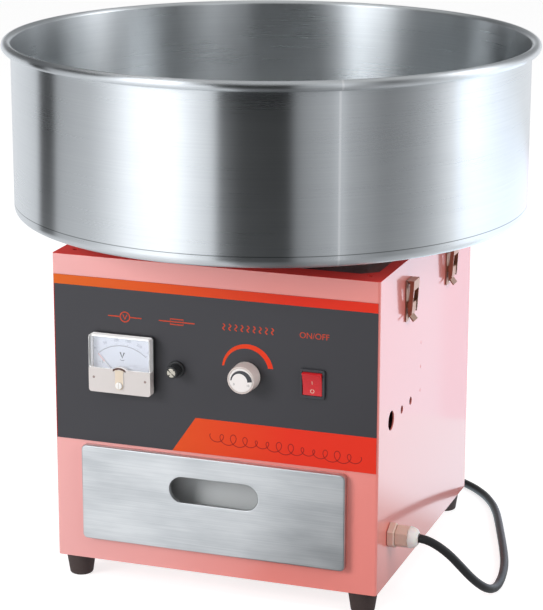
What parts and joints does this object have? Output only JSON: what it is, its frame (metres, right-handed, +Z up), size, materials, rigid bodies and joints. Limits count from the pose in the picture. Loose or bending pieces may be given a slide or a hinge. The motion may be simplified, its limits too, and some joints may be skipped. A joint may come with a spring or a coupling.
{
  "type": "cotton candy machine",
  "caption": "Electric cotton candy machine: square steel cabinet with control panel and drawer under a wide open steel bowl with a spinning head.",
  "frame": {"origin": "on the floor under the centre of the bowl", "axes": "+X to the right along the front, -Y out of the front face with the controls, +Z up along the shaft"},
  "size_m": [0.5202, 0.5202, 0.5171],
  "materials": {
    "pink_paint": "gloss powder coat",
    "dark_paint": "satin",
    "printed_film": "satin printed film",
    "stainless": "brushed",
    "aluminium": "spun",
    "zinc_plate": "bright zinc plate",
    "black_plastic": "moulded",
    "black_rubber": "moulded",
    "ivory_plastic": "moulded",
    "clear_plastic": "polished",
    "dial_card": "printed",
    "red_plastic": "moulded",
    "needle_red": "painted",
    "grey_plastic": "moulded",
    "cord_jacket": "extruded",
    "brass": "turned",
    "carbon": "pressed",
    "fuse_glass": "clear"
  },
  "bodies": {
    "base": {"cabinet_shell": "pink_paint", "rear_panel": "pink_paint", "base_plate": "pink_paint", "top_deck": "dark_paint", "control_overlay": "printed_film", "foot_front_left": "black_rubber", "foot_front_right": "black_rubber", "foot_rear_left": "black_rubber", "foot_rear_right": "black_rubber", "voltmeter_case": "black_plastic", "voltmeter_dial": "dial_card", "voltmeter_window": "clear_plastic", "voltmeter_cover": "ivory_plastic", "fuse_holder": "black_plastic", "regulator_body": "black_plastic", "switch_housing": "black_plastic", "drawer_runner_left": "zinc_plate", "drawer_runner_right": "zinc_plate", "motor_mount": "zinc_plate", "motor_case": "aluminium", "brush_holder": "black_plastic", "bowl_seat": "stainless", "latch_plate_right_front": "zinc_plate", "latch_plate_right_rear": "zinc_plate", "latch_plate_left_front": "zinc_plate", "latch_plate_left_rear": "zinc_plate", "gland_body": "ivory_plastic", "gland_nut": "ivory_plastic", "gland_locknut": "ivory_plastic", "mains_cord": "cord_jacket", "cord_tail": "cord_jacket", "cord_coil": "cord_jacket", "mains_plug": "cord_jacket"},
    "bowl": {"bowl": "stainless"},
    "spinner": {"motor_shaft": "stainless", "cooling_fan": "black_plastic", "slip_ring_hub": "brass", "head_pan": "aluminium", "heater_ring": "stainless", "mesh_band": "stainless", "head_lid": "aluminium"},
    "drawer": {"drawer_front": "stainless", "drawer_tray": "stainless"},
    "needle": {"voltmeter_needle": "needle_red"},
    "zero_adjuster": {"zero_screw": "ivory_plastic"},
    "fuse_carrier": {"fuse_link": "fuse_glass"},
    "fuse_cap": {"fuse_cap": "black_plastic"},
    "knob": {"heat_knob": "grey_plastic", "knob_face": "aluminium"},
    "rocker": {"switch_rocker": "red_plastic"},
    "brush_lower": {"brush_lower": "carbon"},
    "brush_upper": {"brush_upper": "carbon"},
    "lever_right_front": {"latch_lever_right_front": "zinc_plate"},
    "loop_right_front": {"latch_loop_right_front": "zinc_plate"},
    "lever_right_rear": {"latch_lever_right_rear": "zinc_plate"},
    "loop_right_rear": {"latch_loop_right_rear": "zinc_plate"},
    "lever_left_front": {"latch_lever_left_front": "zinc_plate"},
    "loop_left_front": {"latch_loop_left_front": "zinc_plate"},
    "lever_left_rear": {"latch_lever_left_rear": "zinc_plate"},
    "loop_left_rear": {"latch_loop_left_rear": "zinc_plate"}
  },
  "joints": [
    {"name": "bowl_lift", "type": "slide", "parent": "base", "child": "bowl", "axis": [0, 0, 1], "range_m": [0, 0.12]},
    {"name": "head_spin", "type": "hinge", "parent": "base", "child": "spinner", "pos_m": [0, 0, 0.3], "axis": [0, 0, 1], "continuous": true},
    {"name": "drawer_slide", "type": "slide", "parent": "base", "child": "drawer", "axis": [0, -1, 0], "range_m": [0, 0.22]},
    {"name": "needle_swing", "type": "hinge", "parent": "base", "child": "needle", "pos_m": [-0.0894, -0.1688, 0.206], "axis": [0, 1, 0], "range_deg": [0, 82], "stiffness_Nm_per_rad": 0.0002, "springref_deg": -5.73},
    {"name": "zero_turn", "type": "hinge", "parent": "base", "child": "zero_adjuster", "pos_m": [-0.0894, -0.177, 0.206], "axis": [0, 1, 0], "range_deg": [-30, 30]},
    {"name": "fuse_pull", "type": "slide", "parent": "base", "child": "fuse_carrier", "axis": [0, -1, 0], "range_m": [0, 0.03]},
    {"name": "fuse_turn", "type": "hinge", "parent": "fuse_carrier", "child": "fuse_cap", "pos_m": [-0.036, -0.17, 0.224], "axis": [0, -1, 0], "range_deg": [0, 90]},
    {"name": "knob_turn", "type": "hinge", "parent": "base", "child": "knob", "pos_m": [0.034, -0.17, 0.2248], "axis": [0, 1, 0], "range_deg": [0, 270]},
    {"name": "rocker_tilt", "type": "hinge", "parent": "base", "child": "rocker", "pos_m": [0.099, -0.1633, 0.224], "axis": [-1, 0, 0], "range_deg": [0, 18]},
    {"name": "brush_lower_slide", "type": "slide", "parent": "base", "child": "brush_lower", "axis": [1, 0, 0], "range_m": [0, 0.004], "stiffness_N_per_m": 60, "springref_m": -0.01},
    {"name": "brush_upper_slide", "type": "slide", "parent": "base", "child": "brush_upper", "axis": [1, 0, 0], "range_m": [0, 0.004], "stiffness_N_per_m": 60, "springref_m": -0.01},
    {"name": "lever_right_front_hinge", "type": "hinge", "parent": "base", "child": "lever_right_front", "pos_m": [0.167, -0.072, 0.284], "axis": [0, -1, 0], "range_deg": [0, 110]},
    {"name": "loop_right_front_hinge", "type": "hinge", "parent": "lever_right_front", "child": "loop_right_front", "pos_m": [0.1673, -0.072, 0.277], "axis": [0, -1, 0], "range_deg": [-110, 0]},
    {"name": "lever_right_rear_hinge", "type": "hinge", "parent": "base", "child": "lever_right_rear", "pos_m": [0.167, 0.072, 0.284], "axis": [0, -1, 0], "range_deg": [0, 110]},
    {"name": "loop_right_rear_hinge", "type": "hinge", "parent": "lever_right_rear", "child": "loop_right_rear", "pos_m": [0.1673, 0.072, 0.277], "axis": [0, -1, 0], "range_deg": [-110, 0]},
    {"name": "lever_left_front_hinge", "type": "hinge", "parent": "base", "child": "lever_left_front", "pos_m": [-0.167, -0.072, 0.284], "axis": [0, 1, 0], "range_deg": [0, 110]},
    {"name": "loop_left_front_hinge", "type": "hinge", "parent": "lever_left_front", "child": "loop_left_front", "pos_m": [-0.1673, -0.072, 0.277], "axis": [0, 1, 0], "range_deg": [-110, 0]},
    {"name": "lever_left_rear_hinge", "type": "hinge", "parent": "base", "child": "lever_left_rear", "pos_m": [-0.167, 0.072, 0.284], "axis": [0, 1, 0], "range_deg": [0, 110]},
    {"name": "loop_left_rear_hinge", "type": "hinge", "parent": "lever_left_rear", "child": "loop_left_rear", "pos_m": [-0.1673, 0.072, 0.277], "axis": [0, 1, 0], "range_deg": [-110, 0]}
  ],
  "couplings": [
    {"joint": "loop_right_front_hinge", "follows": "lever_right_front_hinge", "ratio": -1},
    {"joint": "loop_right_rear_hinge", "follows": "lever_right_rear_hinge", "ratio": -1},
    {"joint": "loop_left_front_hinge", "follows": "lever_left_front_hinge", "ratio": -1},
    {"joint": "loop_left_rear_hinge", "follows": "lever_left_rear_hinge", "ratio": -1}
  ]
}
